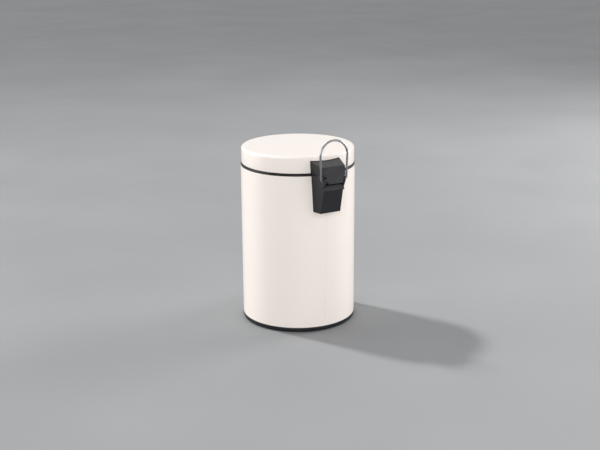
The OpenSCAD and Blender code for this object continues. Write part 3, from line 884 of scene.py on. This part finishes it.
def make_bucket():
    """Moulded bucket: tapered wall, rolled flange, stepped bottom and two bail lugs."""
    wall, thick, hollow = 1.8, 2, 1.2
    low, flange = bucket_low.z, ring_high.z - 3.5
    bottom_r, top_r, flange_r = 65, 75.2, bucket_high.x
    outline = rounded([
        (0, low + hollow, 0), (bottom_r - 10, low + hollow, 0.8), (bottom_r - 11, low, 0.8),
        (bottom_r, low, 3), (top_r, flange - 3, 1), (top_r + 0.6, flange, 0.4),
        (flange_r, flange, 0.6), (flange_r, flange + thick, 0.8), (top_r - wall, flange + thick, 1),
        (bottom_r - wall, low + wall, 4), (0, low + wall + hollow, 0),
    ], 6)
    bucket = lathe("bucket_moulding", outline)

    foot_half, neck_half, eye_r, bore_r, lug_in, lug_out = 6, 4.6, 2.7, 1.25, 76.3, 79.3
    foot_z, neck_z = flange + 0.5, flange + thick + 0.4
    lug_side = (
        [(-foot_half, foot_z), (foot_half, foot_z), (neck_half, neck_z)]
        + arc(0, bail_axis.z, eye_r, 20, 160, 14) + [(-neck_half, neck_z)]
    )
    lugs = [across("lug", lug_side, side * lug_in, side * lug_out) for side in (-1, 1)]
    combine(bucket, "UNION", *[bake(soften(lug, 0.5, 3, 50)) for lug in lugs])
    combine(bucket, "DIFFERENCE", turned_x("bore", disc(bore_r, -90, 90), 0, bail_axis.z))
    dress(smooth(bucket), bucket_black, "bucket_body", "bucket_plastic", "inner_bucket")


# ---------- Pedal ----------

# The tread is made level, measured from the lever's pivot, and then turned onto the lever.
LEVER_TOP = 4.2
TREAD_BACK = -52.5
TREAD_FRONT = tread_low.y - pivot.y + 0.1
TREAD_TOP = LEVER_TOP + 4.6
RIVETS_Y = (-66, -58)
GROOVE_PITCH = 4.2
lever_tilt = math.atan2(pivot.z - (rod_low.z + ROD_R), ROD_Y - pivot.y)
on_lever = Matrix.Translation(pivot * MM) @ Matrix.Rotation(-lever_tilt, 4, "X")


def tread_plan(half, inset):
    """Plan of the tread: straight back, round front corners and a front edge that bows out."""
    corner, bow, steps = 5, 2, 10
    front = TREAD_FRONT + inset
    back = TREAD_BACK - inset
    centre_x, centre_y = half - corner, front + corner + bow
    shares = [x / steps for x in range(steps - 1, -steps, -1)]
    edge = [(share * centre_x, front + bow * share ** 2) for share in shares]
    return (
        [(half, back)] + arc(centre_x, centre_y, corner, 0, -75, 6) + edge
        + arc(-centre_x, centre_y, corner, -105, -180, 6) + [(-half, back)]
    )


def groove(x):
    """Tool for one groove across the tread's top."""
    half, wide_half, deep = 0.7, 0.9, 0.6
    outline = rounded([
        (x - half, TREAD_TOP - deep, 0.3), (x + half, TREAD_TOP - deep, 0.3),
        (x + wide_half, TREAD_TOP + 1, 0), (x - wide_half, TREAD_TOP + 1, 0)])
    return skin("groove", [[(a, y, b) for a, b in outline] for y in (TREAD_FRONT + 5, TREAD_BACK - 3)])


def rivet_well(y):
    """Tool for a rivet's hole, and the wider well that its head sits in."""
    hole_r, head_r, seat, above = 1.6, 3.4, LEVER_TOP + 2.6, TREAD_TOP + 2
    outline = [(0, 0), (hole_r, 0), (hole_r, seat), (head_r, seat), (head_r, above), (0, above)]
    well = lathe("well", outline, full_turn(48))
    well.data.transform(Matrix.Translation((0, y * MM, 0)))
    return well


def make_tread():
    """Plastic tread over the lever's end, with a grooved top and recessed rivets."""
    half, wall, gap_half, gap_reach = tread_high.x, 2, 8.3, 4
    below, roof = LEVER_TOP - 6, LEVER_TOP + 0.05
    shell = upright("tread", tread_plan(half, 0), LEVER_TOP - 3.4, TREAD_TOP)
    bake(soften(shell, 1.4, 4, 50))
    pocket = upright("pocket", tread_plan(half - wall, wall), below, roof)
    gap_ends = (TREAD_BACK - gap_reach, TREAD_BACK + gap_reach)
    gap_plan = [
        (-gap_half, gap_ends[0]), (gap_half, gap_ends[0]), (gap_half, gap_ends[1]),
        (-gap_half, gap_ends[1])]
    gap = upright("gap", gap_plan, below, roof)
    grooves = [groove(k * GROOVE_PITCH) for k in (-4, -3, -2, 2, 3, 4)]
    combine(shell, "DIFFERENCE", pocket, gap, *grooves)
    combine(shell, "DIFFERENCE", *[rivet_well(y) for y in RIVETS_Y])
    shell.data.transform(on_lever)
    shell.name = "pedal_tread_moulding"
    soften(clean(shell), 0.2, 2, 50)
    dress(flatten(smooth(shell)), black, "pedal_body", "black_plastic", "pedal_tread")


# ---------- Nodes that keep their shape ----------

# Node, material, and how far its edges are rounded
KEPT_NODES = (
    ("base_tray", black, 0.25), ("lever_buffer", rubber, 0.4), ("pedal_lever", zinc, 0.35),
    ("tread_rivets", zinc, 0.3), ("pivot_pin", zinc, 0.3), ("pivot_clips", zinc, 0.15),
    ("pivot_bushes", acetal, 0.1), ("rod_clip", acetal, 0.25), ("rod_guide", black, 0.4),
    ("housing_plate", zinc, 0.15), ("housing_screws", zinc, 0.15), ("cap_plate", zinc, 0.15),
    ("cap_screws", zinc, 0.15), ("lid_bumpers", clear, 0.1),
)


def keep(node, finish, width):
    """Gives a node of the frame its material, and edges rounded by width."""
    piece = frame["nodes"][node]
    piece.data.materials.clear()
    piece.data.materials.append(finish)
    weld = piece.modifiers.new("weld", "WELD")
    weld.merge_threshold = 0.002 * MM
    soften(piece, width, 2, 40)


place_camera()
light_the_scene()
surround()
lay_floor()
make_body()
make_top_ring()
make_feet()
make_lid()
make_housing()
make_cap()
make_handle()
make_bail()
make_rod()
make_bucket()
make_tread()
for node, finish, width in KEPT_NODES:
    keep(node, finish, width)
bpy.context.scene.view_settings.view_transform = "Standard"
